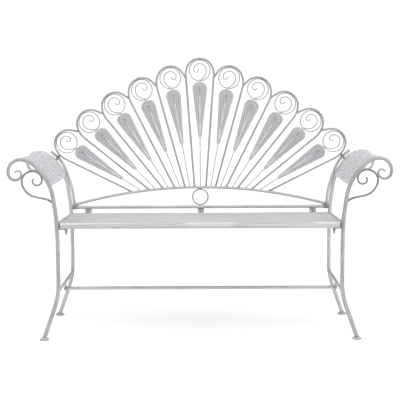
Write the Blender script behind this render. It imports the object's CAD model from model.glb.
"""Antique-white metal garden bench with a peacock-tail back, dressed round its CAD frame.

The sitter faces -Y and +Z is up. Lengths are written in millimetres, as on the drawing of the
frame, and turned into metres where a vertex is made.
"""
import math

import bmesh
import bpy
from mathutils import Matrix, Vector, noise


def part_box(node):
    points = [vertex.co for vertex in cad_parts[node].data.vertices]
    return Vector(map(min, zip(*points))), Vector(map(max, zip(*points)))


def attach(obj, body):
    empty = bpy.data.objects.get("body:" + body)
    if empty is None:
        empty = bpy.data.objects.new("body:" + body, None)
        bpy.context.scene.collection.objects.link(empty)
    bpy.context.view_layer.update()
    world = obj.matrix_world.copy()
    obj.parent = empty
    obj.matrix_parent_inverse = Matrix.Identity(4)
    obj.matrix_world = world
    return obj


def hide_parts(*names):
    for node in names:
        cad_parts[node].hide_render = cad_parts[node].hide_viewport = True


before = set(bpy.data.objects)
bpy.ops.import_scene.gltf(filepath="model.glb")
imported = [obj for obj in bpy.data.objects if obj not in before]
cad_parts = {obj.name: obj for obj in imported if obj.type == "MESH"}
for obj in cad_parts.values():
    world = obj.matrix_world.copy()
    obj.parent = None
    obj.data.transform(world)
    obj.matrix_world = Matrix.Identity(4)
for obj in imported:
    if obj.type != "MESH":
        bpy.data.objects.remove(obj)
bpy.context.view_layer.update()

MM = 0.001
SIDES = {"left": -1, "right": 1}
X_AXIS, Y_AXIS, Z_AXIS = Vector((1, 0, 0)), Vector((0, 1, 0)), Vector((0, 0, 1))


def mm(x, y, z):
    """A place given in millimetres."""
    return Vector((x, y, z)) * MM


def cos_deg(angle):
    return math.cos(math.radians(angle))


def sin_deg(angle):
    return math.sin(math.radians(angle))


def circle(count):
    """Evenly spaced angles round one turn."""
    return [2 * math.pi * k / count for k in range(count)]


def size_mm(node):
    """Width, depth and height of a CAD node in millimetres."""
    low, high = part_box(node)
    return (high - low) / MM


def middle_mm(node):
    low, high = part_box(node)
    return (high + low) / 2 / MM


# ---- Driving sizes, read from the frame or repeated from its drawing ----

FRONT_Y = middle_mm("front_leg_right").y
REAR_Y = middle_mm("rear_leg_right").y
LEG_D = size_mm("front_leg_right").y
FOOT_H = size_mm("foot_discs").z
FOOT_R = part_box("foot_discs")[1].y / MM - REAR_Y
FOOT_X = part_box("foot_discs")[1].x / MM - FOOT_R
SCROLL_D = size_mm("front_scroll_right").y
SIDE_D = size_mm("side_stretchers").z
RAIL_D = size_mm("back_bottom_rail").y
BAR_D = size_mm("stretcher_bar").y
ARCH_D = size_mm("back_arch_rail").y
HOOP_D = size_mm("hoop_centre").y
WIRE_D = size_mm("curl_centre").y
RING_D = size_mm("back_ring").y

LEG_X = 533.5
FOOT_SPLAY = 19.5
SPLAY_R = 268
SPLAY_Z = 216
ARM_START_Z = 386
LEG_IN = LEG_X + 1.5            # centre of the legs at seat height
WELD = 0.3                      # how far a welded end bites into its neighbour

SEAT_FRONT = FRONT_Y - 7
SEAT_Z = 447
SEAT_TILT = 2
SEAT_DEPTH = 428
SEAT_EDGE = 22
END_HEM = 26                    # flange under each end of the tray
SHEET = 1.5
LEDGER_T = 3
LEDGER_W = 30
SEAT_RAIL_Z = -4                # of the side rails, from the seat's top
SEAT_W = 2 * (LEG_IN - LEG_D / 2 - LEDGER_T - 1)
SEAT_BOLT_X = LEG_IN - 26       # through the ledgers' lower leg
SEAT_BOLT_Y = (67, 357)
TAB_X = (-464, 2, 465)
TAB_BOLT_Y = 414
TAB_T = 3

RAIL_Z = 455
ARCH_Z = 537
ARCH_R = 1950
ARCH_HALF = LEG_IN - 17         # where the arch runs into the side tubes
SIDE_TUBE_X = LEG_IN - 13.8     # foot of the side tubes, on the lower rail
SIDE_GAP = 7.1                  # between a side tube and the rear arm, at their bolt
SIDE_BOLT_FROM_END = 38
RAIL_BOLT_X = LEG_IN - 15
FLAT_LEN, FLAT_H, FLAT_T = 28, 18, 6    # the lower rail's flattened ends
LUG_T = 3
STRETCHER_Z = 185
BAR_DROP = 28

STEM_FOOT_X = (0, 43, 83, 130, 183.5, 243)
HOOP_FOOT_X = (23.5, 62.5, 105.5, 152.5, 209, 278.5)
PLUME_TILT = (0, 9.8, 21, 32.4, 44.2, 56.4)
PLUME_SWING = (0, 0, 0, 0, 0, 2)
PLUME_LEN = (471.5, 447, 424, 402.5, 381.5, 358)
HEAD_R, SHOULDER_R = 56, 82
SHOULDER_FROM = (20, 35, 35, 35, 35, 35)
HOOP_OVER = 120
HOOP_TAIL = (0, 27, 27, 28, 32, 33)
CURL_R = 42.5
CURL_UP = HEAD_R - HOOP_D / 2 - WIRE_D / 2 - CURL_R
LEAF_W, LEAF_LEN, LEAF_GAP = 60, 229, 2


# ---- Routes in an X-Z plane: a pose is (x, z, heading), a heading runs from +Z towards +X ----

def along(point, heading, distance):
    return point[0] + distance * sin_deg(heading), point[1] + distance * cos_deg(heading)


def after(pose, size, turn):
    """The pose at the end of a straight of that length, or of an arc of that radius."""
    if not turn:
        return (*along(pose, pose[2], size), pose[2])
    start, end = math.radians(pose[2]), math.radians(pose[2] + turn)
    r = math.copysign(size, turn)
    return (pose[0] + r * (math.cos(start) - math.cos(end)),
            pose[1] + r * (math.sin(end) - math.sin(start)), pose[2] + turn)


def trace(pose, route, d, fine=6, straight=16):
    """Points (x, z, heading, diameter) along a route whose steps are (size, turn, end diameter)."""
    points = [(*pose, d)]
    for size, turn, end_d in route:
        pieces = max(1, math.ceil(abs(turn) / fine) if turn else math.ceil(size / straight))
        for n in range(1, pieces + 1):
            part = n / pieces
            here = after(pose, size, turn * part) if turn else after(pose, size * part, 0)
            points.append((*here, d + (end_d - d) * part))
        pose, d = after(pose, size, turn), end_d
    return points


class Plane:
    """An upright plane along X at one depth, on one side of the bench, swung about a vertical line."""

    def __init__(self, y, side=1, swing=0, pivot=0):
        self.y, self.side, self.pivot = y, side, pivot
        self.swing = math.radians(swing)

    def at(self, x, z, forward=0):
        """The point at x and z, so far in front of the plane."""
        c, s = math.cos(self.swing), math.sin(self.swing)
        out, back = x - self.pivot, -forward
        turned_x = self.pivot + out * c + back * s
        return mm(self.side * turned_x, self.y - out * s + back * c, z)

    def normal(self):
        return Vector((self.side * math.sin(self.swing), math.cos(self.swing), 0))


def in_seat(x, y, z):
    """A point in the seat's own frame: y runs back down the slope and z = 0 is the tray's top."""
    c, s = cos_deg(SEAT_TILT), sin_deg(SEAT_TILT)
    return mm(x, SEAT_FRONT + y * c + z * s, SEAT_Z - y * s + z * c)


# ---- Mesh building ----

class Shape:
    """Vertices and faces of one piece, with what its paint reads at each vertex: flow is a place
    measured along the piece, in metres, and wear is how far the paint is rubbed or stained."""

    made = 0

    def __init__(self):
        self.points, self.faces, self.flow, self.wear = [], [], [], []
        Shape.made += 1
        self.offset = Vector((0.731 * Shape.made, 0.417 * Shape.made, 0.293 * Shape.made))

    def add(self, points, faces, flow=None, wear=None):
        base = len(self.points)
        self.points += points
        self.faces += [tuple(base + i for i in f) for f in faces]
        self.flow += [f + self.offset for f in (flow or points)]
        self.wear += wear if wear else [0.0] * len(points)

    def rings(self, rings, flow=None, wear=None, closed=False):
        """Joins rings of the same number of points into a tube with capped ends. Wear holds one
        number, or one list with a number per point, for each ring."""
        count, sides = len(rings), len(rings[0])
        faces = []
        for r in range(count if closed else count - 1):
            a, b = r * sides, (r + 1) % count * sides
            faces += [(a + k, a + (k + 1) % sides, b + (k + 1) % sides, b + k) for k in range(sides)]
        if not closed:
            faces.append(tuple(reversed(range(sides))))
            faces.append(tuple((count - 1) * sides + k for k in range(sides)))
        self.add([p for ring in rings for p in ring], faces,
                 flow and [f for ring in flow for f in ring],
                 wear and [w for ring in wear for w in (ring if isinstance(ring, list) else [ring] * sides)])


END_FORMS = {
    # (distance past the last point, share of the radius), both in radii, from the rod outwards
    "round": [(0.0, 1.0), (0.38, 0.92), (0.7, 0.71), (0.9, 0.4), (0.97, 0.12)],
    "flat": [(-0.12, 1.0), (0.0, 0.88)],
    "hollow": [(-0.06, 1.0), (0.0, 0.95), (0.0, 0.78), (-0.05, 0.74), (-3.5, 0.74)],
}


END_WEAR_REACH = 0.014


def unwrapped(offset_along, ring_r, angle):
    return Vector((offset_along, ring_r * math.cos(angle), ring_r * math.sin(angle)))


def sweep(shape, path, up, sides=16, ends=("round", "round"), end_wear=(0.0, 0.0), rubs=(), wobble=0.012):
    """A rod along points (position, radius) or (position, radius along up, other radius), in metres.
    A rub is (share of the length, reach in metres, strength)."""
    path = [(p[0], p[1], p[-1]) for p in path]
    positions = [p[0] for p in path]
    tangents = []
    for n in range(len(path)):
        before, beyond = positions[max(n - 1, 0)], positions[min(n + 1, len(path) - 1)]
        tangents.append((beyond - before).normalized())
    travelled = [0.0]
    for a, b in zip(positions, positions[1:]):
        travelled.append(travelled[-1] + (b - a).length)
    total = travelled[-1]
    stations = [(positions[n], tangents[n], path[n][1], path[n][2], travelled[n]) for n in range(len(path))]
    for last, form in ((0, ends[0]), (-1, ends[1])):
        p, t, ru, rv, s = stations[last]
        outwards = 1 if last else -1
        extra = [(p + t * outwards * past * ru, t, ru * share, rv * share, s + outwards * past * ru)
                 for past, share in END_FORMS[form]]
        stations = stations[:-1] + extra if last else extra[::-1] + stations[1:]
    rings, flows, wears = [], [], []
    seed = shape.offset * 10
    for p, t, ru, rv, s in stations:
        n = (up - t * up.dot(t)).normalized()
        b = t.cross(n)
        lump = 1 + wobble * noise.noise(seed + Vector((s * 45, 0, 0)))
        ring, flow = [], []
        for a in circle(sides):
            ring.append(p + n * ru * lump * math.cos(a) + b * rv * lump * math.sin(a))
            flow.append(unwrapped(s, max(ru, rv), a))
        rings.append(ring)
        flows.append(flow)
        worn = max(end_wear[0] * math.exp(-max(s, 0) / END_WEAR_REACH),
                   end_wear[1] * math.exp(-max(total - s, 0) / END_WEAR_REACH))
        for place, reach, strength in rubs:
            worn = max(worn, strength * math.exp(-((s - place * total) / reach) ** 2))
        wears.append(worn)
    shape.rings(rings, flows, wears)


def sweep_route(shape, plane, points, **options):
    path = [(plane.at(x, z), d / 2 * MM) for x, z, _, d in points]
    sweep(shape, path, plane.normal(), **options)


def straight_rod(shape, start, end, d, up, steps=24, **options):
    path = [(start.lerp(end, n / steps), d / 2 * MM) for n in range(steps + 1)]
    sweep(shape, path, up, **options)


def basis(origin, z_axis, x_hint):
    """A matrix whose Z is z_axis and whose X leans towards x_hint."""
    z = z_axis.normalized()
    x = (x_hint - z * x_hint.dot(z)).normalized()
    y = z.cross(x)
    matrix = Matrix((x, y, z)).transposed().to_4x4()
    matrix.translation = origin
    return matrix


def lathe(shape, matrix, profile, sides=28, across=0, wear=0.0):
    """Turns a profile of (radius, height) in millimetres. With across it is cut down to a hexagon
    of that size across its flats, as a bolt's head is."""
    sector = math.pi / 3
    rings = []
    for r, z in profile:
        ring = []
        for a in circle(sides):
            reach = r
            if across:
                reach = min(r, across / 2 / math.cos((a + sector / 2) % sector - sector / 2))
            ring.append(matrix @ mm(reach * math.cos(a), reach * math.sin(a), z))
        rings.append(ring)
    shape.rings(rings, wear=[wear] * len(rings))


def slab(shape, matrix, outline, thickness, bevel=0.6, wear=0.0):
    """A plate: an outline in millimetres in the matrix' X-Y plane, with softened rims."""
    centre = Vector((sum(p[0] for p in outline), sum(p[1] for p in outline), 0)) / len(outline)

    def ring(inset, z):
        points = []
        for x, y in outline:
            p = Vector((x, y, 0))
            inward = centre - p
            points.append(matrix @ ((p + inward.normalized() * inset * 1.2 + Vector((0, 0, z))) * MM))
        return points

    rims = [ring(bevel, 0), ring(0, bevel), ring(0, thickness - bevel), ring(bevel, thickness)]
    shape.rings(rims, wear=[wear] * 4)


def bead(shape, points, r, seed, closed=True, wear=0.55):
    """A lumpy run of weld along points, in millimetres of radius."""
    rings = []
    count = len(points)
    for n, p in enumerate(points):
        beyond = points[(n + 1) % count] if closed else points[min(n + 1, count - 1)]
        before = points[n - 1] if closed or n else points[0]
        t = (beyond - before).normalized()
        side = t.orthogonal().normalized()
        other = t.cross(side)
        swell = 1 + 0.28 * math.sin(n * 2.6 + seed) + 0.22 * noise.noise(p * 900)
        taper = 1 if closed else math.sin(math.pi * (n + 0.6) / (count + 0.2)) ** 0.5
        rings.append([p + (side * math.cos(a) + other * math.sin(a)) * r * MM * swell * taper
                      for a in circle(6)])
    shape.rings(rings, wear=[wear] * count, closed=closed)


def weld_round(shape, on, towards, rod_d, base_d, base_axis, seed, r=1.1):
    """A bead where a round rod, running towards its end at `on`, meets a round bar of base_d."""
    t = towards.normalized()
    a = base_axis.normalized()
    u = t.orthogonal().normalized()
    v = t.cross(u)
    angles = circle(18)
    points = []
    for angle in angles:
        start = on - t * 0.05 + (u * math.cos(angle) + v * math.sin(angle)) * (rod_d / 2 + 0.3) * MM
        # distance along t at which the line enters the bar's surface
        gap = start - on
        flat_t, flat_g = t - a * t.dot(a), gap - a * gap.dot(a)
        qa, qb = flat_t.dot(flat_t), 2 * flat_t.dot(flat_g)
        qc = flat_g.dot(flat_g) - (base_d / 2 * MM) ** 2
        root = qb * qb - 4 * qa * qc
        if root > 0 and qa >= 1e-9:
            points.append(start + t * ((-qb - math.sqrt(root)) / (2 * qa)))
    if len(points) > 6:
        bead(shape, points, r, seed, closed=len(points) == len(angles))


def tack(shape, at, axis, size, seed, wear=0.6):
    """A small drop of weld, in millimetres of radius."""
    matrix = basis(at, axis, Vector((0.3, 0.5, 0.8)))
    high = size * 0.6
    lump = [1 + 0.25 * math.sin(seed * 1.7 + k) for k in range(2)]
    profile = [(size * 0.15, -high), (size * 0.8, -high * 0.6), (size * lump[0], 0),
               (size * 0.8 * lump[1], high * 0.6), (size * 0.15, high)]
    lathe(shape, matrix, profile, sides=8, wear=wear)


def add_object(name, data):
    made = bpy.data.objects.new(name, data)
    bpy.context.scene.collection.objects.link(made)
    return made


def finish_piece(name, shape, material, nodes=(), sharp=50):
    """Makes the piece, smooth up to the sharp angle in degrees, in place of the named CAD nodes."""
    mesh = bpy.data.meshes.new(name)
    mesh.from_pydata([tuple(p) for p in shape.points], [], shape.faces)
    flow = mesh.attributes.new("flow", "FLOAT_VECTOR", "POINT")
    flow.data.foreach_set("vector", [c for f in shape.flow for c in f])
    wear = mesh.attributes.new("wear", "FLOAT", "POINT")
    wear.data.foreach_set("value", shape.wear)
    edit = bmesh.new()
    edit.from_mesh(mesh)
    bmesh.ops.recalc_face_normals(edit, faces=edit.faces)
    edit.to_mesh(mesh)
    edit.free()
    mesh.shade_smooth()
    mesh.set_sharp_from_angle(angle=math.radians(sharp))
    mesh.materials.append(material)
    piece = add_object(name, mesh)
    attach(piece, "root")
    if nodes:
        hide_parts(*nodes)


# ---- Camera, light and floor ----

def make_camera():
    """At the photograph's angle: a long lens, a little above the seat, looking slightly down."""
    data = bpy.data.cameras.new("camera")
    data.sensor_width = 36
    data.lens = 94.1
    camera = add_object("camera", data)
    down, left, roll = 6.39, 0.30, -0.30
    turn = (Matrix.Rotation(math.radians(left), 4, "Z")
            @ Matrix.Rotation(math.radians(90 - down), 4, "X")
            @ Matrix.Rotation(math.radians(roll), 4, "Z"))
    camera.matrix_world = Matrix.Translation((0.021, -4.088, 0.965)) @ turn
    bpy.context.scene.camera = camera


def add_sun(name, towards, softness, irradiance):
    """Soft light from one direction, as bright at the far edge of the floor as at the bench."""
    data = bpy.data.lights.new(name, "SUN")
    data.angle = math.radians(softness)
    data.energy = irradiance * math.pi
    lamp = add_object(name, data)
    lamp.rotation_mode = "QUATERNION"
    lamp.rotation_quaternion = Vector(towards).to_track_quat("Z", "Y")


def make_studio():
    """White surroundings that light the bench only faintly, three soft lamps, and a pale floor."""
    scene = bpy.context.scene
    scene.view_settings.view_transform = "Standard"
    world = bpy.data.worlds.new("studio")
    scene.world = world
    world.use_nodes = True
    tree = world.node_tree
    tree.nodes.clear()
    out, mix, path, seen, lit = (
        tree.nodes.new("ShaderNode" + kind)
        for kind in ("OutputWorld", "MixShader", "LightPath", "Background", "Background"))
    seen.inputs["Color"].default_value = (1, 1, 1, 1)
    seen.inputs["Strength"].default_value = 1.05
    lit.inputs["Color"].default_value = (0.97, 0.98, 1.0, 1)
    lit.inputs["Strength"].default_value = 0.19
    tree.links.new(path.outputs["Is Camera Ray"], mix.inputs["Fac"])
    tree.links.new(lit.outputs[0], mix.inputs[1])
    tree.links.new(seen.outputs[0], mix.inputs[2])
    tree.links.new(mix.outputs[0], out.inputs["Surface"])
    add_sun("key", (0.55, -0.35, 0.58), 40, 0.52)
    add_sun("fill", (-0.60, -0.20, 0.65), 45, 0.40)
    add_sun("top", (-0.02, -0.08, 1.0), 70, 0.42)

    floor_mesh = bpy.data.meshes.new("floor")
    half = 12
    floor_mesh.from_pydata([(-half, -half, 0), (half, -half, 0), (half, half, 0), (-half, half, 0)],
                           [], [(0, 1, 2, 3)])
    floor = add_object("floor", floor_mesh)
    paint = bpy.data.materials.new("floor_paint")
    paint.use_nodes = True
    shader = paint.node_tree.nodes["Principled BSDF"]
    shader.inputs["Base Color"].default_value = (0.42, 0.42, 0.42, 1)
    shader.inputs["Roughness"].default_value = 0.9
    shader.inputs["Emission Color"].default_value = (1, 1, 1, 1)
    shader.inputs["Emission Strength"].default_value = 0.66
    floor_mesh.materials.append(paint)


# ---- Materials ----

class Graph:
    """A material's node tree, built with short calls."""

    def __init__(self, name):
        self.material = bpy.data.materials.new(name)
        self.material.use_nodes = True
        self.nodes = self.material.node_tree.nodes
        self.shader = self.nodes["Principled BSDF"]

    def link(self, output, target):
        self.material.node_tree.links.new(output, target)

    def vector(self, coords, scale):
        """The flow of a new piece, or a CAD node's own place, stretched by scale."""
        if coords == "flow":
            source = self.nodes.new("ShaderNodeAttribute")
            source.attribute_name = "flow"
            place = source.outputs["Vector"]
        else:
            place = self.nodes.new("ShaderNodeTexCoord").outputs["Object"]
        mapping = self.nodes.new("ShaderNodeMapping")
        mapping.inputs["Scale"].default_value = scale
        self.link(place, mapping.inputs["Vector"])
        return mapping.outputs["Vector"]

    def noise(self, vector, detail=3.0, distortion=0.0, roughness=0.55):
        texture = self.nodes.new("ShaderNodeTexNoise")
        texture.inputs["Scale"].default_value = 1.0
        texture.inputs["Detail"].default_value = detail
        texture.inputs["Roughness"].default_value = roughness
        texture.inputs["Distortion"].default_value = distortion
        self.link(vector, texture.inputs["Vector"])
        return texture.outputs["Fac"]

    def value(self, name):
        source = self.nodes.new("ShaderNodeAttribute")
        source.attribute_name = name
        return source.outputs["Fac"]

    def remap(self, value, low, high, to_low=0.0, to_high=1.0):
        node = self.nodes.new("ShaderNodeMapRange")
        node.interpolation_type = "SMOOTHSTEP"
        for socket, number in zip(("From Min", "From Max", "To Min", "To Max"),
                                  (low, high, to_low, to_high)):
            node.inputs[socket].default_value = number
        self.link(value, node.inputs["Value"])
        return node.outputs["Result"]

    def math(self, kind, a, b):
        node = self.nodes.new("ShaderNodeMath")
        node.operation = kind
        for n, term in enumerate((a, b)):
            if isinstance(term, (int, float)):
                node.inputs[n].default_value = term
            else:
                self.link(term, node.inputs[n])
        return node.outputs[0]

    def add(self, a, b):
        return self.math("ADD", a, b)

    def times(self, a, b):
        return self.math("MULTIPLY", a, b)

    def mix(self, factor, a, b):
        node = self.nodes.new("ShaderNodeMix")
        node.data_type = "RGBA"
        self.link(factor, node.inputs["Factor"])
        for socket, colour in ((node.inputs[6], a), (node.inputs[7], b)):
            if isinstance(colour, tuple):
                socket.default_value = (*colour, 1)
            else:
                self.link(colour, socket)
        return node.outputs[2]

    def bump(self, height, strength, distance):
        node = self.nodes.new("ShaderNodeBump")
        node.inputs["Strength"].default_value = strength
        node.inputs["Distance"].default_value = distance
        self.link(height, node.inputs["Height"])
        self.link(node.outputs["Normal"], self.shader.inputs["Normal"])


WHITE = (0.485, 0.475, 0.47)
WASH = (0.33, 0.32, 0.315)
BARE = (0.20, 0.17, 0.145)


def antique_paint(name, white=WHITE, wash=WASH, bare=BARE, coords="flow", cover=0.66, wear_gain=0.3,
                  streak=(14, 330, 330), relief=()):
    """Paint brushed over steel: a pale coat, a greyer wash in streaks, and spots rubbed through.
    Relief holds the colour of grooves, where wear is near 1, and of ridges, where it is below 0."""
    g = Graph(name)
    streaks = g.noise(g.vector(coords, streak), detail=4, distortion=0.4)
    clouds = g.noise(g.vector(coords, (19, 60, 60)), detail=2)
    rubs = g.noise(g.vector(coords, (55, 190, 190)), detail=5, roughness=0.65)
    grain = g.noise(g.vector(coords, (900, 900, 900)), detail=2)
    tone = g.remap(g.add(g.times(streaks, 0.6), g.times(clouds, 0.4)), 0.35, 0.7)
    coat = g.mix(tone, white, wash)
    if relief:
        grooves, ridges = relief
        coat = g.mix(g.remap(g.value("wear"), 0.3, 1.0, 0.0, 0.9), coat, grooves)
        coat = g.mix(g.remap(g.value("wear"), -0.7, -0.1, 1.0, 0.0), coat, ridges)
    if coords == "flow":
        rubs = g.add(rubs, g.times(g.value("wear"), wear_gain))
    through = g.remap(rubs, cover, cover + 0.14, 0.0, 0.85)
    g.link(g.mix(through, coat, bare), g.shader.inputs["Base Color"])
    rough = g.remap(g.add(streaks, g.times(through, 0.5)), 0.3, 1.1, 0.42, 0.62)
    g.link(rough, g.shader.inputs["Roughness"])
    height = g.add(g.times(streaks, 0.7), g.math("SUBTRACT", g.times(grain, 0.3), g.times(through, 0.6)))
    g.bump(height, 0.45, 0.0005)
    return g.material


def seat_paint():
    """Long soft streaks along the seat, like limed wood grain."""
    g = Graph("seat_paint")
    planks = g.noise(g.vector("flow", (2.2, 34, 34)), detail=3, distortion=0.9)
    lines = g.noise(g.vector("flow", (5, 260, 260)), detail=5, distortion=0.5, roughness=0.6)
    grain = g.noise(g.vector("flow", (60, 1400, 1400)), detail=2)
    rubs = g.noise(g.vector("flow", (30, 130, 130)), detail=5)
    pale, cool, grey = (0.70, 0.69, 0.67), (0.58, 0.57, 0.59), (0.42, 0.41, 0.40)
    coat = g.mix(g.remap(planks, 0.38, 0.6), pale, cool)
    coat = g.mix(g.remap(lines, 0.45, 0.62), coat, grey)
    coat = g.mix(g.remap(g.value("wear"), 0.3, 1.0, 0.0, 0.45), coat, grey)
    worn = g.add(rubs, g.times(g.value("wear"), 0.06))
    through = g.remap(worn, 0.7, 0.84, 0.0, 0.7)
    g.link(g.mix(through, coat, (0.27, 0.24, 0.21)), g.shader.inputs["Base Color"])
    g.link(g.remap(lines, 0.3, 0.75, 0.42, 0.6), g.shader.inputs["Roughness"])
    g.bump(g.add(lines, g.times(grain, 0.35)), 0.35, 0.0006)
    return g.material


def steel(name, base, stain):
    """Dull zinc, stained in spots."""
    g = Graph(name)
    spots = g.noise(g.vector("flow", (260, 260, 260)), detail=4)
    scratches = g.noise(g.vector("flow", (150, 1500, 1500)), detail=2)
    tone = g.remap(g.add(spots, g.times(g.value("wear"), 0.25)), 0.42, 0.72)
    g.link(g.mix(tone, base, stain), g.shader.inputs["Base Color"])
    g.link(g.remap(spots, 0.3, 0.7, 0.3, 0.58), g.shader.inputs["Roughness"])
    g.shader.inputs["Metallic"].default_value = 0.75
    g.bump(scratches, 0.3, 0.0002)
    return g.material


make_camera()
make_studio()

FRAME_PAINT = antique_paint("frame_paint")
RAIL_PAINT = antique_paint("rail_paint", (0.655, 0.64, 0.625), (0.50, 0.485, 0.47))
CAD_PAINT = antique_paint("cad_frame_paint", coords="object", streak=(60, 60, 60))
FAN_PAINT = antique_paint("fan_paint", (0.48, 0.46, 0.45), (0.345, 0.325, 0.315), cover=0.65)
SHEET_PAINT = antique_paint("woven_sheet", (0.78, 0.79, 0.82), (0.70, 0.71, 0.74), (0.24, 0.24, 0.25),
                            streak=(120, 120, 120), cover=0.72, wear_gain=0.5)
LEAF_PAINT = antique_paint("leaf_paint", (0.62, 0.61, 0.63), (0.56, 0.55, 0.57), (0.28, 0.27, 0.27),
                           streak=(26, 260, 260), cover=0.78, wear_gain=0.06,
                           relief=((0.40, 0.39, 0.41), (0.84, 0.84, 0.86)))
SCROLL_PAINT = antique_paint("scroll_paint", (0.31, 0.295, 0.29), (0.20, 0.185, 0.18), cover=0.62)
SEAT_PAINT = seat_paint()
STEEL = steel("fastener_steel", (0.56, 0.54, 0.51), (0.30, 0.26, 0.22))


# ---- Side frames ----

def leg_points():
    """The side bar's centre line from inside its foot disc to the end of its scroll."""
    into_foot = 3
    lean = math.radians(FOOT_SPLAY)
    splay_len = (SPLAY_Z - FOOT_H - SPLAY_R * math.sin(lean)) / math.cos(lean)
    start = (FOOT_X + into_foot * math.tan(lean), FOOT_H - into_foot, -FOOT_SPLAY)
    route = [
        (splay_len + into_foot / math.cos(lean), 0, LEG_D), (SPLAY_R, FOOT_SPLAY, LEG_D),
        (ARM_START_Z - SPLAY_Z, 0, LEG_D), (884, 10.4, LEG_D), (206, 38.4, LEG_D - 0.4),
        (90, 31.4, LEG_D - 1.6), (46, 116, LEG_D - 3.8), (24.5, 93.4, LEG_D - 5.8),
        (24, 60.4, LEG_D - 7.4), (12.6, 160, LEG_D - 9),
    ]
    return trace(start, route, LEG_D)


def build_legs():
    points = leg_points()
    rubs = [(0.155, 0.02, 0.5), (0.37, 0.03, 0.45), (0.52, 0.03, 0.4), (0.66, 0.02, 0.5)]
    for row, y, paint in (("front", FRONT_Y, FRAME_PAINT), ("rear", REAR_Y, RAIL_PAINT)):
        for side, sign in SIDES.items():
            shape = Shape()
            sweep_route(shape, Plane(y, sign), points, sides=22, ends=("flat", "round"),
                        end_wear=(0.8, 0.5), rubs=rubs)
            finish_piece(f"{row}_side_bar_{side}", shape, paint, [f"{row}_leg_{side}"])


def build_feet():
    """Low turned discs with a collar where the tube stands on them."""
    edge = FOOT_R
    profile = [(1, 0.8), (edge - 5, 0.8), (edge - 3.6, 0), (edge - 1.2, 0), (edge - 0.2, 0.7), (edge, 1.8),
               (edge, 3.4), (edge - 0.6, 4.5), (edge - 2, 5.2), (edge - 4, 5.6), (edge - 5.4, 6.4),
               (edge - 6, FOOT_H - 0.4), (edge - 7, FOOT_H), (1, FOOT_H)]
    shape = Shape()
    for sign in SIDES.values():
        for y in (FRONT_Y, REAR_Y):
            where = Matrix.Translation(mm(sign * FOOT_X, y, 0))
            lathe(shape, where, profile, sides=36, wear=0.25)
    finish_piece("foot_glides", shape, FRAME_PAINT, ["foot_discs"], sharp=40)


def scroll_points():
    """The C-scroll's centre line from its foot on the front leg to the end of its spiral."""
    route = [(64.6, 30.4, SCROLL_D), (32.4, 0, SCROLL_D), (64, -65.7, SCROLL_D),
             (39.5, -136.3, SCROLL_D - 0.4), (30.7, -71.8, SCROLL_D - 0.8), (17.5, -150, SCROLL_D - 1.4),
             (11, -60, SCROLL_D - 2)]
    return trace((550.2, 523.2, 48.1), route, SCROLL_D)


def build_front_scrolls():
    for side, sign in SIDES.items():
        shape = Shape()
        sweep_route(shape, Plane(FRONT_Y, sign), scroll_points(), sides=16, ends=("flat", "round"),
                    end_wear=(0.9, 0.4), rubs=[(0.45, 0.012, 0.7), (0.62, 0.012, 0.8)])
        finish_piece(f"arm_scroll_{side}", shape, SCROLL_PAINT, [f"front_scroll_{side}"])


# ---- Woven arm sheets ----

PANEL_FROM, PANEL_TO = 22, 93   # the arm's headings between which the sheet lies
PANEL_LIFT = 4                  # of the sheet's middle above the arm's centre line
WEAVE = 7.4
STRANDS = 4                     # lengthwise ribbons that go over and under together
RIBBON_W, RIBBON_T, WEAVE_RISE = 6.3, 0.8, 1.0
EDGE_STAIN = 0.6                # how dark the paint is along the ribbons' edges
LONG_STAIN = 0.15               # and on the backs of the lengthwise ones


def panel_line():
    """Points of the arm's centre line under the sheet, as in leg_points, a third of a weave apart."""
    inside = [p for p in leg_points() if PANEL_FROM - 8 <= p[2] <= PANEL_TO + 8]
    fine = []
    step = WEAVE / 3
    lengths = [0.0]
    for a, b in zip(inside, inside[1:]):
        lengths.append(lengths[-1] + math.dist(a[:2], b[:2]))
    start = next(s for s, p in zip(lengths, inside) if p[2] >= PANEL_FROM - 1)
    end = max(s for s, p in zip(lengths, inside) if p[2] <= PANEL_TO + 1)
    count = int((end - start) / step / 3) * 3
    for n in range(count + 1):
        want = start + n * step
        k = max(i for i, s in enumerate(lengths[:-1]) if s <= want)
        part = (want - lengths[k]) / (lengths[k + 1] - lengths[k])
        fine.append(tuple(u + (v - u) * part for u, v in zip(inside[k], inside[k + 1])))
    return fine


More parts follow.
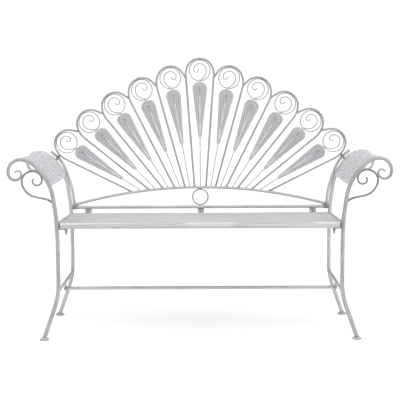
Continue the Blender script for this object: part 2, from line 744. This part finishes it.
def build_arm_panels():
    line = panel_line()
    half = (REAR_Y - FRONT_Y - LEG_D) / 2 + WELD
    steps = len(line) - 1
    across_count = int(2 * half / WEAVE)
    pitch = 2 * half / across_count
    chamfer, hem_steps = 0.15, 40
    hem_reach = 4                   # in thirds of a weave
    for side, sign in SIDES.items():
        plane = Plane(0, sign)
        shape = Shape()

        def place(u, y, h):
            """The point u steps along the sheet, at depth y and height h over its middle."""
            n = min(max(math.floor(u), 0), steps - 1)
            ends = []
            for x, z, heading, _ in line[n:n + 2]:
                ends.append(plane.at(*along((x, z), heading - 90, PANEL_LIFT + h), forward=-y))
            return ends[0].lerp(ends[1], u - n)

        def ribbon(centres, wide_u, wide_y, stain=0.0):
            """A band with a crowned top along centres (u, y, h), as wide as it says along u and y."""
            rings, flows, wears = [], [], []
            for n, (u, y, h) in enumerate(centres):
                ring, flow = [], []
                low, high = h - RIBBON_T / 2, h + RIBBON_T / 2
                for w, t in ((-0.5, low), (0.5, low), (0.5, high - chamfer), (0.2, high),
                             (-0.2, high), (-0.5, high - chamfer)):
                    ring.append(place(min(max(u + w * wide_u, 0), steps), y + w * wide_y, t))
                    flow.append(Vector((n * 0.002, w * RIBBON_W * MM, t * MM)) + paint_shift(u, y))
                rings.append(ring)
                flows.append(flow)
                sunk = stain + 0.2 - 0.2 * h / WEAVE_RISE
                wears.append([EDGE_STAIN, EDGE_STAIN, EDGE_STAIN, sunk, sunk, EDGE_STAIN])
            shape.rings(rings, flows, wears)

        def paint_shift(u, y):
            """Sets off each crossing's paint from its neighbours'."""
            return Vector((0, round(y / pitch) * 0.031, round(u / 3) * 0.017))

        for i in range(across_count):
            y = -half + (i + 0.5) * pitch
            ribbon([(n, y, WEAVE_RISE * math.sin(math.pi * (n / 3 + i // STRANDS)))
                    for n in range(steps + 1)], 0, RIBBON_W, LONG_STAIN)
        for j in range(steps // 3):
            ribbon([(3 * j + 1.5, -half + n * pitch / 3,
                     -WEAVE_RISE * math.sin(math.pi * (n / 3 / STRANDS + j)))
                    for n in range(across_count * 3 + 1)], RIBBON_W / (WEAVE / 3), 0)
        finish_piece(f"woven_arm_sheet_{side}", shape, SHEET_PAINT, [f"arm_panel_{side}"])

        hems = Shape()
        section = ((0, -0.5), (0.08, -1.1), (0.92, -1.1), (1, -0.7), (1, 0.9), (0.92, 1.3), (0.12, 1.5),
                   (-0.08, 1.2), (-0.14, 0.2))
        for end, inwards in ((0, 1), (steps, -1)):
            rings = []
            for n in range(hem_steps + 1):
                y = -half + n * 2 * half / hem_steps
                rings.append([place(end + inwards * hem_reach * share, y, t) for share, t in section])
            hems.rings(rings, wear=[0.35 + 0.25 * (n % 7 == 0) for n in range(hem_steps + 1)])
        finish_piece(f"arm_sheet_hems_{side}", hems, SHEET_PAINT)


# ---- Seat ----

def build_seat_frame():
    rails = Shape()
    for sign in SIDES.values():
        run = FRONT_Y - SEAT_FRONT
        start, end = (in_seat(sign * LEG_IN, y, SEAT_RAIL_Z) for y in (run, run + REAR_Y - FRONT_Y))
        straight_rod(rails, start, end, SIDE_D, Z_AXIS, end_wear=(0.4, 0.4))
    finish_piece("seat_side_rails", rails, RAIL_PAINT, ["seat_rails"])

    ledgers = Shape()
    outer = LEG_IN - LEG_D / 2 + WELD
    low = -SEAT_EDGE - LEDGER_T
    section = [(outer, -0.6), (outer - 0.6, 0), (outer - LEDGER_T + 0.6, 0), (outer - LEDGER_T, -0.6),
               (outer - LEDGER_T, low + LEDGER_T + 2), (outer - LEDGER_T - 0.6, low + LEDGER_T + 0.6),
               (outer - LEDGER_T - 2, low + LEDGER_T), (outer - LEDGER_W + 0.5, low + LEDGER_T),
               (outer - LEDGER_W, low + LEDGER_T - 0.6), (outer - LEDGER_W, low + 0.6),
               (outer - LEDGER_W + 0.6, low), (outer - 2.6, low), (outer - 0.8, low + 0.8),
               (outer, low + 2.6)]
    first, length, steps = 3, REAR_Y - FRONT_Y + 8, 30
    for sign in SIDES.values():
        rings, wears = [], []
        for n in range(steps + 1):
            y = first + length * n / steps
            rings.append([in_seat(sign * x, y, z) for x, z in section])
            wears.append(1.4 if n in (0, steps) else 0.1)
        ledgers.rings(rings, wear=wears)
    finish_piece("seat_ledger_angles", ledgers, FRAME_PAINT, ["seat_ledgers"], sharp=35)


def build_seat_tray():
    """One folded sheet: rounded front and back edges, hemmed aprons, and closed ends."""
    bend, hem = 5, 9

    def arc(cy, cz, r, start, end, count):
        return [(cy + r * cos_deg(start + (end - start) * n / count),
                 cz + r * sin_deg(start + (end - start) * n / count))
                for n in range(count + 1)]

    def skin(inset):
        """The cross-section from the front hem, over the top, to the back hem."""
        r = bend - inset
        low = -SEAT_EDGE + inset
        fold = 2.2 - inset
        front = [(hem, low), (2.5, low)] + arc(fold + inset, low + fold, fold, 270, 180, 3)
        front += arc(bend, -bend, r, 180, 90, 6)
        top = [(bend + (SEAT_DEPTH - 2 * bend) * n / 40, -inset) for n in range(1, 40)]
        back = [(SEAT_DEPTH - y, z) for y, z in reversed(front)]
        return front + top + back

    outer, inner = skin(0), skin(SHEET)
    steps = 64
    shape = Shape()
    rings, flows, wears = [], [], []
    for n in range(steps + 1):
        x = -SEAT_W / 2 + SEAT_W * n / steps
        ring, flow, wear = [], [], []
        for y, z in outer + inner[::-1]:
            sag = 0.35 * noise.noise(Vector((x * 0.009, y * 0.012, 3))) if z > -2 else 0.0
            ring.append(in_seat(x, y, z + sag))
            flow.append(mm(x, y - z, 0))
            wear.append(1.0 if z < -bend else 0.0)
        rings.append(ring)
        flows.append(flow)
        wears.append(wear)
    shape.rings(rings, flows, wears)
    lip = 1.2
    wall = [(0.6, -SEAT_EDGE), (SEAT_DEPTH - 0.6, -SEAT_EDGE), (SEAT_DEPTH - 0.3, -bend)]
    wall += [(SEAT_DEPTH - bend, -0.3), (bend, -0.3), (0.3, -bend)]
    middle_y, middle_z = SEAT_DEPTH / 2, -SEAT_EDGE / 2
    inner_x, outer_x, sheet_top = SEAT_W / 2 - END_HEM, SEAT_W / 2 - 0.5, -SEAT_EDGE + SHEET
    flange = ((inner_x, -SEAT_EDGE), (outer_x, -SEAT_EDGE), (outer_x, sheet_top), (inner_x, sheet_top))
    for sign in SIDES.values():
        rings = []
        for x, inset in ((SEAT_W / 2 - SHEET, 0), (SEAT_W / 2 - 0.4, 0), (SEAT_W / 2, 0.4)):
            rings.append([in_seat(sign * x, y + math.copysign(inset, middle_y - y),
                                  z + math.copysign(inset, middle_z - z)) for y, z in wall])
        shape.rings(rings, wear=[0.2] * 3)
        shape.rings([[in_seat(sign * x, y, z) for x, z in flange] for y in (lip, SEAT_DEPTH - lip)])
    finish_piece("seat_sheet", shape, SEAT_PAINT, ["seat_tray"], sharp=35)


# ---- Stretchers ----

def stretcher_x():
    """Where the legs' splay has reached at the stretchers' height."""
    lean = math.asin((SPLAY_Z - STRETCHER_Z) / SPLAY_R)
    return LEG_X + SPLAY_R * (1 - math.cos(lean))


def build_stretchers():
    x_at = stretcher_x()
    sides = Shape()
    for sign in SIDES.values():
        start, end = (mm(sign * x_at, y, STRETCHER_Z) for y in (FRONT_Y, REAR_Y))
        straight_rod(sides, start, end, SIDE_D, Z_AXIS, end_wear=(0.4, 0.4), rubs=[(0.5, 0.02, 0.5)])
    finish_piece("side_stretcher_tubes", sides, RAIL_PAINT, ["side_stretchers"])

    thick, wide = 4, 24
    brackets = Shape()
    for sign in SIDES.values():
        corner = mm(sign * x_at - thick / 2, 0, STRETCHER_Z)
        matrix = basis(corner, X_AXIS, Y_AXIS)
        round_foot = [(wide / 2 * cos_deg(a), -BAR_DROP + wide / 2 * sin_deg(a))
                      for a in range(180, 361, 12)]
        outline = round_foot + [(wide / 2, -4), (-wide / 2, -4)]
        slab(brackets, matrix, outline, thick, bevel=0.5, wear=0.3)
    finish_piece("bar_brackets", brackets, FRAME_PAINT, ["stretcher_brackets"], sharp=35)

    bar = Shape()
    reach = (x_at - thick / 2) * MM
    z = (STRETCHER_Z - BAR_DROP) * MM
    straight_rod(bar, Vector((-reach, 0, z)), Vector((reach, 0, z)), BAR_D, Z_AXIS, steps=70, sides=20,
                 ends=("flat", "flat"), end_wear=(0.7, 0.7))
    finish_piece("long_stretcher_bar", bar, RAIL_PAINT, ["stretcher_bar"])


# ---- Back frame ----

def arch_point(x):
    return x, ARCH_Z - ARCH_R + math.sqrt(ARCH_R * ARCH_R - x * x)


def side_bar_points():
    """A side tube's centre line, from the lower rail up to its open end beside the rear arm."""
    bite = 1.5
    start = (SIDE_TUBE_X, RAIL_Z + FLAT_H / 2 - bite, 2.5)
    return trace(start, [(430, 21.5, SIDE_D), (157, 24.9, SIDE_D), (22, 0, SIDE_D)], SIDE_D, fine=3)


def build_lower_rail():
    """A round bar whose ends are pressed flat at the rear legs."""
    rail = Shape()
    path = []
    round_half = LEG_IN - LEG_D / 2 - FLAT_LEN
    # (share of the round part's half length, how flat it is there)
    stations = [(0, 0), (0.5, 0), (0.93, 0), (0.97, 0), (1, 0.06), (1.008, 0.3), (1.016, 0.7), (1.024, 0.94),
                (1.032, 1), (1.06, 1)]
    end_x = LEG_IN - 6
    whole = [(-s, f) for s, f in reversed(stations[1:])] + stations
    dense = []
    for (s0, f0), (s1, f1) in zip(whole, whole[1:]):
        cuts = max(1, int(abs(s1 - s0) * round_half / 14))
        dense += [(s0 + (s1 - s0) * n / cuts, f0 + (f1 - f0) * n / cuts) for n in range(cuts)]
    dense.append(whole[-1])
    for s, flat in dense:
        x = min(max(s * round_half, -end_x), end_x)
        deep = RAIL_D + (FLAT_T - RAIL_D) * flat
        high = RAIL_D + (FLAT_H - RAIL_D) * flat
        path.append((mm(x, REAR_Y, RAIL_Z), deep / 2 * MM, high / 2 * MM))
    sweep(rail, path, Y_AXIS, sides=20, ends=("flat", "flat"), end_wear=(0.9, 0.9), wobble=0.008)
    finish_piece("back_lower_rail", rail, RAIL_PAINT, ["back_bottom_rail"])


def build_arch():
    arch = Shape()
    path = []
    for n in range(73):
        x, z = arch_point(ARCH_HALF * (n / 36 - 1))
        path.append((mm(x, REAR_Y, z), ARCH_D / 2 * MM))
    sweep(arch, path, Y_AXIS, sides=18, ends=("flat", "flat"), end_wear=(0.9, 0.9))
    finish_piece("back_arch", arch, RAIL_PAINT, ["back_arch_rail"])


def build_centre_ring():
    ring = Shape()
    centre_z = (ARCH_Z - ARCH_D / 2 + RAIL_Z + RAIL_D / 2) / 2
    r = size_mm("back_ring").z / 2 - RING_D / 2
    steps, half_turn, angles = 56, 28, circle(14)
    rings, flows = [], []
    for n, a in enumerate(circle(steps)):
        out = Vector((math.sin(a), 0, math.cos(a)))
        centre = mm(0, REAR_Y, centre_z) + out * r * MM
        rings.append([centre + (out * math.cos(b) + Y_AXIS * math.sin(b)) * RING_D / 2 * MM for b in angles])
        flows.append([unwrapped(n * 0.0033, RING_D / 2 * MM, b) for b in angles])
    wears = [0.6 if n % half_turn in (0, 1, half_turn - 1) else 0.05 for n in range(steps)]
    ring.rings(rings, flows, wears, closed=True)
    finish_piece("back_centre_ring", ring, FRAME_PAINT, ["back_ring"])


def build_side_tubes():
    for side, sign in SIDES.items():
        bar = Shape()
        sweep_route(bar, Plane(REAR_Y, sign), side_bar_points(), sides=18, ends=("flat", "hollow"),
                    end_wear=(0.9, 0.6), rubs=[(0.84, 0.012, 0.8)])
        finish_piece(f"back_side_tube_{side}", bar, RAIL_PAINT, [f"back_side_bar_{side}"])


def build_seat_tabs():
    """Angle plates: a foot bolted to the seat, and a leg welded up against the lower rail."""
    tabs = Shape()
    wide, foot, high, bend = 27, 34, 24, 4
    stand = (REAR_Y - SEAT_FRONT) + TAB_T / 2
    for x in TAB_X:
        section = [(-foot, 0), (-foot, TAB_T), (-TAB_T - bend, TAB_T)]
        section += [(-TAB_T - bend * (1 - sin_deg(a)), TAB_T + bend * (1 - cos_deg(a)))
                    for a in (30, 60, 90)]
        section += [(-TAB_T, high - 8), (0, high - 8), (0, 2), (-0.6, 0.6), (-2, 0)]
        rings = []
        for across, inset in ((-wide / 2, 0.4), (-wide / 2 + 0.4, 0), (wide / 2 - 0.4, 0), (wide / 2, 0.4)):
            ring = []
            for y, z in section:
                ring.append(in_seat(x + across, stand + y + (inset if y < -foot / 2 else 0),
                                    max(z, 0) - (inset if z > high / 2 else 0)))
            rings.append(ring)
        tabs.rings(rings, wear=[0.5, 0.2, 0.2, 0.5])
    finish_piece("seat_tabs", tabs, RAIL_PAINT, ["back_tabs"], sharp=35)


def build_back_lugs():
    """Plates behind the lower rail's ends, and spacers between the side tubes and the rear arms."""
    lugs = Shape()
    wide, half_h, cut = 20, FLAT_H / 2, 2
    outline = [(0, -half_h), (wide - cut, -half_h), (wide, -half_h + cut), (wide, half_h - cut),
               (wide - cut, half_h), (cut, half_h), (0, half_h - cut), (0, -half_h + cut)]
    spacer = [(3.2, 0), (4.6, 0.2), (5, 0.6), (5, SIDE_GAP - 0.4), (4.6, SIDE_GAP + 0.1),
              (3.2, SIDE_GAP + 0.3)]
    for sign in SIDES.values():
        low = mm(sign * RAIL_BOLT_X - wide / 2, REAR_Y + FLAT_T / 2, RAIL_Z)
        slab(lugs, basis(low, Y_AXIS, X_AXIS), outline, LUG_T, wear=0.4)
        place, axis = side_bolt(sign)
        foot = basis(place - axis * (SIDE_D / 2 + SIDE_GAP) * MM, axis, Y_AXIS)
        lathe(lugs, foot, spacer, sides=20, wear=0.5)
    finish_piece("back_lug_plates", lugs, FRAME_PAINT, ["back_lugs"], sharp=35)


def side_bolt(sign):
    """Where a bolt ties a side tube to the rear arm, and the way its head points."""
    x, z, heading, _ = side_bar_points()[-1]
    x, z = along((x, z), heading, -SIDE_BOLT_FROM_END)
    dx, dz = along((0, 0), heading - 90, 1)
    return mm(sign * x, REAR_Y, z), Vector((sign * dx, 0, dz))


# ---- Fan ----

def head_point(i):
    """The centre of a plume's round head."""
    return along(arch_point(STEM_FOOT_X[i]), PLUME_TILT[i], PLUME_LEN[i])


def hoop_points(i):
    """A hoop's centre line: from its foot on the arch straight up, over one shoulder and the head."""
    centre = along(head_point(i), PLUME_TILT[i] + 90 - SHOULDER_FROM[i], HEAD_R - SHOULDER_R)
    foot = arch_point(HOOP_FOOT_X[i])
    dx, dz = centre[0] - foot[0], centre[1] - foot[1]
    span = math.hypot(dx, dz)
    heading = math.degrees(math.atan2(dx, dz) + math.asin(SHOULDER_R / span))
    leg = math.sqrt(span * span - SHOULDER_R * SHOULDER_R)
    turn = PLUME_TILT[i] - SHOULDER_FROM[i] - heading
    route = [(leg, 0, HOOP_D), (SHOULDER_R, turn, HOOP_D)]
    if i == 0:
        route += [(HEAD_R, 2 * (SHOULDER_FROM[0] - 90), HOOP_D), *route[::-1]]
    else:
        route += [(HEAD_R, -HOOP_OVER, HOOP_D), (HOOP_TAIL[i], 0, HOOP_D)]
    return trace((*foot, heading), route, HOOP_D, fine=5, straight=18)


def plume_plane(sign, i):
    return Plane(REAR_Y, sign, PLUME_SWING[i], HOOP_FOOT_X[i])


def in_head(i, a, b):
    """A point a to the right of a plume's axis and b beyond its head's centre."""
    return along(along(head_point(i), PLUME_TILT[i], b), PLUME_TILT[i] + 90, a)


def curl_points(i):
    """The curl's centre line: once round the head from its lowest point, then spiralling in."""
    x, z = in_head(i, 0, CURL_UP - CURL_R)
    route = [(CURL_R, -350, WIRE_D), (14, -50, WIRE_D), (13, 0, WIRE_D), (36, -70, WIRE_D),
             (27, -80, WIRE_D), (24, -60, WIRE_D - 0.2), (17, -55, WIRE_D - 0.3), (8, -100, WIRE_D - 0.5),
             (22, -30, WIRE_D - 0.8)]
    return trace((x, z, PLUME_TILT[i] + 90), route, WIRE_D, fine=6)


def teardrop():
    """The leaf's outline round its eye, from its top clockwise, and the depth of the eye below the neck."""
    spread, neck, tip = 4, 3, 6.5
    r = LEAF_W / 2 - spread
    length = LEAF_LEN - neck - r - tip
    lean = math.asin((r + spread - tip) / length)
    head_steps, side_steps, tip_steps = 16, 26, 5
    right = [(spread / 2, r)]
    for n in range(head_steps + 1):
        a = math.pi / 2 - (math.pi / 2 + lean) * n / head_steps
        right.append((spread + r * math.cos(a), r * math.sin(a)))
    end = (tip * math.cos(lean), -length - tip * math.sin(lean))
    start = right[-1]
    for n in range(1, side_steps + 1):
        part = n / side_steps
        right.append((start[0] + (end[0] - start[0]) * part, start[1] + (end[1] - start[1]) * part))
    for n in range(1, tip_steps):
        a = lean + (math.pi / 2 - lean) * n / tip_steps
        right.append((tip * math.cos(a), -length - tip * math.sin(a)))
    left = [(-x, y) for x, y in right][::-1]
    return [(0, r)] + right + [(0, -length - tip)] + left, neck + r


EYE_R = 2.6                     # round the point from which the ribs spread
RIBS, RIB_H = 3, 1.2
CROWN, VEIN_H, VEIN_W = 2.2, 1.5, 2.0


def leaf_relief(share, x, y):
    """The embossed sheet's height at a share of the way from the eye to the rim, and how deep in a
    groove that is: near 1 at the bottom, 0 on a rib, and below 0 on the vein along the middle."""
    rib = 0.5 - 0.5 * math.cos(2 * math.pi * RIBS * share)
    edge = min(1.0, (1 - share) * 9)
    rise = CROWN * (1 - share ** 2) * 0.6 + RIB_H * rib * edge
    groove = 1 - rib
    if y < -EYE_R:
        vein = math.exp(-(x / VEIN_W) ** 2) * min(1.0, (-y - EYE_R) / 12)
        rise += (VEIN_H - RIB_H * rib) * vein
        groove *= 1 - vein
        groove -= 0.9 * vein
    if share < 0.14:
        groove = max(groove, 1.4 - share * 4)
    return rise, groove


def build_leaf(shape, plane, i):
    outline, eye_down = teardrop()
    levels, thick = 30, 1.2
    base = WIRE_D / 2 + 0.1
    eye_b = CURL_UP - CURL_R - LEAF_GAP - eye_down
    front, back, flow, wear = [], [], [], []
    for n in range(levels + 1):
        share = n / levels
        for x, y in outline:
            reach = math.hypot(x, y)
            ex, ey = EYE_R * x / reach, EYE_R * y / reach
            px, py = ex + (x - ex) * share, ey + (y - ey) * share
            rise, groove = leaf_relief(share, px, py)
            at = in_head(i, px, eye_b + py)
            front.append(plane.at(*at, forward=base + thick + rise))
            back.append(plane.at(*at, forward=base + rise))
            flow.append(mm(py, px, 0))
            wear.append(groove)
    count, total, rim = len(outline), len(front), levels * len(outline)
    faces = []
    for n in range(levels):
        for k in range(count):
            a, b = n * count + k, n * count + (k + 1) % count
            faces.append((a, b, b + count, a + count))
            faces.append((total + a, total + a + count, total + b + count, total + b))
    for k in range(count):
        beyond = (k + 1) % count
        faces.append((k, total + k, total + beyond, beyond))
        faces.append((rim + k, rim + beyond, total + rim + beyond, total + rim + k))
    shape.add(front + back, faces, flow + flow, wear + wear)
    build_leaf_clip(shape, plane, i, eye_b + eye_down)


def build_leaf_clip(shape, plane, i, top_b):
    """The leaf's neck, rolled over the curl's lowest point."""
    roll = WIRE_D / 2 + 0.7
    wire_b = CURL_UP - CURL_R
    path = [(top_b - 12, WIRE_D / 2 + 1.6), (top_b - 7, WIRE_D / 2 + 1.2), (wire_b - 2.5, roll)]
    path += [(wire_b + roll * sin_deg(a), roll * cos_deg(a))
             for a in range(0, 181, 30)]
    path.append((wire_b - 4, -roll))
    rings = []
    for n, (b, forward) in enumerate(path):
        b0, f0 = path[max(n - 1, 0)]
        b1, f1 = path[min(n + 1, len(path) - 1)]
        run = math.hypot(b1 - b0, f1 - f0)
        nb, nf = -(f1 - f0) / run, (b1 - b0) / run
        half_w = 5.6 - 1.1 * min(n, 3) / 3
        ring = []
        for a, lift in ((-half_w, -0.5), (half_w, -0.5), (half_w, 0.5), (-half_w, 0.5)):
            spot = in_head(i, a, b + nb * lift)
            ring.append(plane.at(*spot, forward=forward + nf * lift))
        rings.append(ring)
    shape.rings(rings, wear=[0.3] * len(rings))


def build_plumes():
    welds = Shape()
    for i in range(6):
        for side, sign in SIDES.items():
            if i == 0 and side == "left":
                continue
            name = "centre" if i == 0 else f"{side}_{i}"
            plane = plume_plane(sign, i)

            hoop = Shape()
            points = hoop_points(i)
            sweep_route(hoop, plane, points, sides=16, ends=("flat", "flat" if i == 0 else "round"),
                        end_wear=(0.8, 0.8))
            finish_piece(f"plume_hoop_{name}", hoop, FAN_PAINT, [f"hoop_{name}"])

            curl = Shape()
            low = in_head(i, 0, -PLUME_LEN[i])
            top = in_head(i, 0, CURL_UP - CURL_R + 4)
            straight_rod(curl, plane.at(*low), plane.at(*top), WIRE_D, plane.normal(), sides=10, steps=26,
                         end_wear=(0.8, 0.4))
            sweep_route(curl, plane, curl_points(i), sides=10, end_wear=(0.5, 0.3))
            finish_piece(f"plume_curl_{name}", curl, FAN_PAINT, [f"curl_{name}"])

            leaf = Shape()
            build_leaf(leaf, plane, i)
            finish_piece(f"plume_leaf_{name}", leaf, LEAF_PAINT, [f"leaf_{name}"], sharp=60)

            foot = plane.at(*arch_point(HOOP_FOOT_X[i]))
            ahead = plane.at(points[1][0], points[1][1]) - foot
            seed = 7 * i + sign
            weld_round(welds, foot, -ahead, HOOP_D, ARCH_D, X_AXIS, seed)
            stem_foot = plane.at(*low)
            weld_round(welds, stem_foot, stem_foot - plane.at(*top), WIRE_D, ARCH_D, X_AXIS, seed + 1, r=0.8)
            if i == 0:
                other = Vector((-foot.x, foot.y, foot.z))
                weld_round(welds, other, Vector((ahead.x, -ahead.y, -ahead.z)), HOOP_D, ARCH_D, X_AXIS, 5)
            head_top = in_head(i, 0, HEAD_R - HOOP_D / 2)
            for a in (-1.4, 0, 1.4):
                spot = in_head(i, a * 2, HEAD_R - HOOP_D / 2 - 0.6)
                inwards = plane.at(*spot) - plane.at(*head_top)
                tack(welds, plane.at(*spot, forward=-1.2 * (a == 0)), inwards, 1.5, seed + a)
            if i > 0:
                end_x, end_z, _, _ = points[-1]
                for lift in (-2.2, 0, 2.4):
                    spot = plane.at(end_x, end_z + lift, forward=1.5 * (lift == 0))
                    tack(welds, spot, Z_AXIS, 2.0, seed + lift)
            for b in (-90, -150, -215):
                for a in (-1, 1):
                    spot = in_head(i, a * 2.4, b)
                    tack(welds, plane.at(*spot, forward=1.2), plane.normal(), 1.3, seed + b + a, wear=0.4)
    finish_piece("fan_welds", welds, FAN_PAINT, sharp=60)


# ---- Welds of the frame ----

def between(a, b):
    """The middle of the shortest gap between two rows of points."""
    p, q = min(((p, q) for p in a for q in b), key=lambda pair: math.dist(pair[0][:2], pair[1][:2]))
    return (p[0] + q[0]) / 2, (p[1] + q[1]) / 2


def build_frame_welds():
    """Beads and drops of weld wherever pieces of the frame meet."""
    welds = Shape()
    x_at, collar_r = stretcher_x(), LEG_D / 2 + 0.8
    for sign in SIDES.values():
        for y, inwards in ((FRONT_Y, 1), (REAR_Y, -1)):
            rail = in_seat(sign * LEG_IN, y - SEAT_FRONT, SEAT_RAIL_Z)
            weld_round(welds, rail, Vector((0, -inwards, 0)), SIDE_D, LEG_D, Z_AXIS, y, r=1.5)
            low = mm(sign * x_at, y, STRETCHER_Z)
            weld_round(welds, low, Vector((0, -inwards, 0)), SIDE_D, LEG_D, Z_AXIS, y + 3, r=1.5)
            foot = mm(sign * FOOT_X, y, FOOT_H)
            collar = [foot + mm(math.cos(a) * collar_r / cos_deg(FOOT_SPLAY), math.sin(a) * collar_r, 0.2)
                      for a in circle(24)]
            bead(welds, collar, 1.4, sign + y, wear=0.7)
        start_x, start_z, heading, _ = scroll_points()[0]
        plane = Plane(FRONT_Y, sign)
        end = plane.at(start_x, start_z)
        ahead = plane.at(*along((start_x, start_z), heading, 5)) - end
        weld_round(welds, end, -ahead, SCROLL_D, LEG_D, Vector((sign * 0.3, 0, 1)), sign, r=0.9)
        rod = scroll_points()
        arm = [p for p in leg_points() if 0 < p[2] < 60]
        roll = [p for p in leg_points() if p[2] > 200]
        for n, (x, z) in enumerate((between(rod[10:], arm), between(rod, roll))):
            for lift in (-3.5, -1, 1.5, 4):
                for face in (1, -1):
                    spot = plane.at(x + lift * 0.3, z + lift, forward=2.6 * face)
                    tack(welds, spot, Y_AXIS, 1.9, n + face * lift, wear=0.8)
        bar = side_bar_points()
        bar_plane = Plane(REAR_Y, sign)
        end_x, end_z = arch_point(ARCH_HALF)
        for k, forward in enumerate((-4, 0, 4)):
            for way in (-1, 1):
                spot = bar_plane.at(bar[0][0] + 5 * way, bar[0][1], forward)
                tack(welds, spot, Z_AXIS, 2.2, k - way * sign)
            tack(welds, bar_plane.at(end_x + 1, end_z + 4, forward), Z_AXIS, 2.4, k)
        line = panel_line()
        for n in range(6, len(line) - 2, 9):
            x, z, heading, _ = line[n]
            for y, inwards in ((FRONT_Y, 1), (REAR_Y, -1)):
                edge = along((x, z), heading - 90, PANEL_LIFT + 0.4)
                run = [Plane(y + inwards * (LEG_D / 2 - 0.6), sign).at(*along(edge, heading, s))
                       for s in (-5, -3, -1, 1, 3, 5)]
                bead(welds, run, 1.1, n, closed=False, wear=0.5)
    for z, lift in ((ARCH_Z - ARCH_D / 2, 0.5), (RAIL_Z + RAIL_D / 2, -0.3)):
        for x in (-3.4, 0, 3.4):
            for forward in (-1.6, 1.6):
                tack(welds, Plane(REAR_Y).at(x, z + lift, forward), Z_AXIS, 1.8, x + z)
    for x in TAB_X:
        for forward in (-5, 5):
            run = [mm(x + s, REAR_Y - forward * 0.55, RAIL_Z - RAIL_D / 2 + 0.4)
                   for s in (-11, -8, -5, -2, 1, 4, 7, 10)]
            bead(welds, run, 1.2, x, closed=False)
    finish_piece("frame_welds", welds, RAIL_PAINT, sharp=60)


# ---- Fasteners ----

M8_AF, M6_AF = 13, 10           # across the flats


def hex_head(shape, matrix, d, across, washer=False):
    """A chamfered head, on a washer if asked, standing on the matrix' X-Y plane."""
    base = 0.0
    if washer:
        r = across * 0.62
        base, top = 1.1, 1.15
        lathe(shape, matrix, [(d / 2, 0), (r, 0), (r + 0.25, 0.3), (r + 0.25, 0.9), (r, top), (d / 2, top)],
              wear=0.2)
    top = base + 0.6 * d
    corner, flat = across / 2 / cos_deg(30), across / 2
    profile = [(corner - 0.5, base), (corner, base + 0.4), (corner, top - 1.1), (corner - 0.75, top - 0.35),
               (flat * 0.86, top), (flat * 0.7, top), (flat * 0.6, top - 0.25), (0.3, top - 0.25)]
    lathe(shape, matrix, profile, sides=36, across=across, wear=0.35)


def nut(shape, matrix, d, across, tail):
    """A nut on the matrix' X-Y plane, with the bolt's end standing out by its tail."""
    corner, high = across / 2 / cos_deg(30), 0.8 * d
    profile = [(corner - 0.7, 0), (corner, 0.6), (corner, high - 0.6), (corner - 0.7, high), (d / 2, high)]
    lathe(shape, matrix, profile, sides=36, across=across, wear=0.4)
    profile = [(d / 2, high - 1), (d / 2, high + tail - 0.6), (d / 2 - 0.6, high + tail)]
    lathe(shape, matrix, profile, sides=16, wear=0.6)


def dome_nut(shape, matrix, across):
    """A long cap nut: a hexagon, a tapering shank, and a round tip."""
    corner, high, tip, reach = across / 2 / cos_deg(30), 7, 4.2, 26
    root, neck = across / 2 - 0.6, high + 0.4
    profile = [(corner - 0.5, 0), (corner, 0.5), (corner, high - 0.6), (across / 2, high), (root, high)]
    profile += [(root + (tip - root) * n / 4, neck + (reach - tip - neck) * n / 4) for n in range(5)]
    profile += [(tip * cos_deg(a), reach - tip + tip * sin_deg(a)) for a in (25, 50, 75, 86)]
    lathe(shape, matrix, profile, sides=36, across=across, wear=0.3)


def build_fasteners():
    heads, caps, back, ends = Shape(), Shape(), Shape(), Shape()
    down = in_seat(0, 0, -1) - in_seat(0, 0, 0)
    up = -down
    for sign in SIDES.values():
        for y in SEAT_BOLT_Y:
            top = in_seat(sign * SEAT_BOLT_X, y, SHEET - SEAT_EDGE)
            hex_head(heads, basis(top, up, X_AXIS), 8, M8_AF, washer=True)
            under = in_seat(sign * SEAT_BOLT_X, y, -SEAT_EDGE - LEDGER_T)
            dome_nut(caps, basis(under, down, X_AXIS), M8_AF)
        rail = mm(sign * RAIL_BOLT_X, REAR_Y - FLAT_T / 2, RAIL_Z)
        hex_head(back, basis(rail, -Y_AXIS, X_AXIS), 8, M8_AF)
        behind = mm(sign * RAIL_BOLT_X, REAR_Y + FLAT_T / 2 + LUG_T, RAIL_Z)
        nut(back, basis(behind, Y_AXIS, X_AXIS), 8, M8_AF, 1)
        place, axis = side_bolt(sign)
        hex_head(back, basis(place + axis * SIDE_D / 2 * MM, axis, Y_AXIS), 6, M6_AF)
        end = mm(sign * (stretcher_x() + 2), 0, STRETCHER_Z - BAR_DROP)
        hex_head(ends, basis(end, X_AXIS * sign, Y_AXIS), 8, M8_AF)
    for x in TAB_X:
        hex_head(back, basis(in_seat(x, TAB_BOLT_Y, TAB_T), up, X_AXIS), 8, M8_AF)
        nut(back, basis(in_seat(x, TAB_BOLT_Y, -SHEET), down, X_AXIS), 8, M8_AF, 2)
    for name, shape, paint, node in (("seat_bolt_heads", heads, STEEL, "seat_bolts"),
                                     ("seat_dome_nuts", caps, FAN_PAINT, "seat_cap_nuts"),
                                     ("back_bolt_set", back, STEEL, "back_bolts"),
                                     ("bar_end_bolts", ends, STEEL, "stretcher_bolts")):
        finish_piece(name, shape, paint, [node], sharp=30)


build_legs()
build_feet()
build_front_scrolls()
build_arm_panels()
build_seat_frame()
build_seat_tray()
build_stretchers()
build_lower_rail()
build_arch()
build_centre_ring()
build_side_tubes()
build_seat_tabs()
build_back_lugs()
build_plumes()
build_frame_welds()
build_fasteners()

# The stiffeners stay as they are in the frame, with paint.
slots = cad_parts["seat_stiffeners"].data.materials
slots.clear()
slots.append(CAD_PAINT)
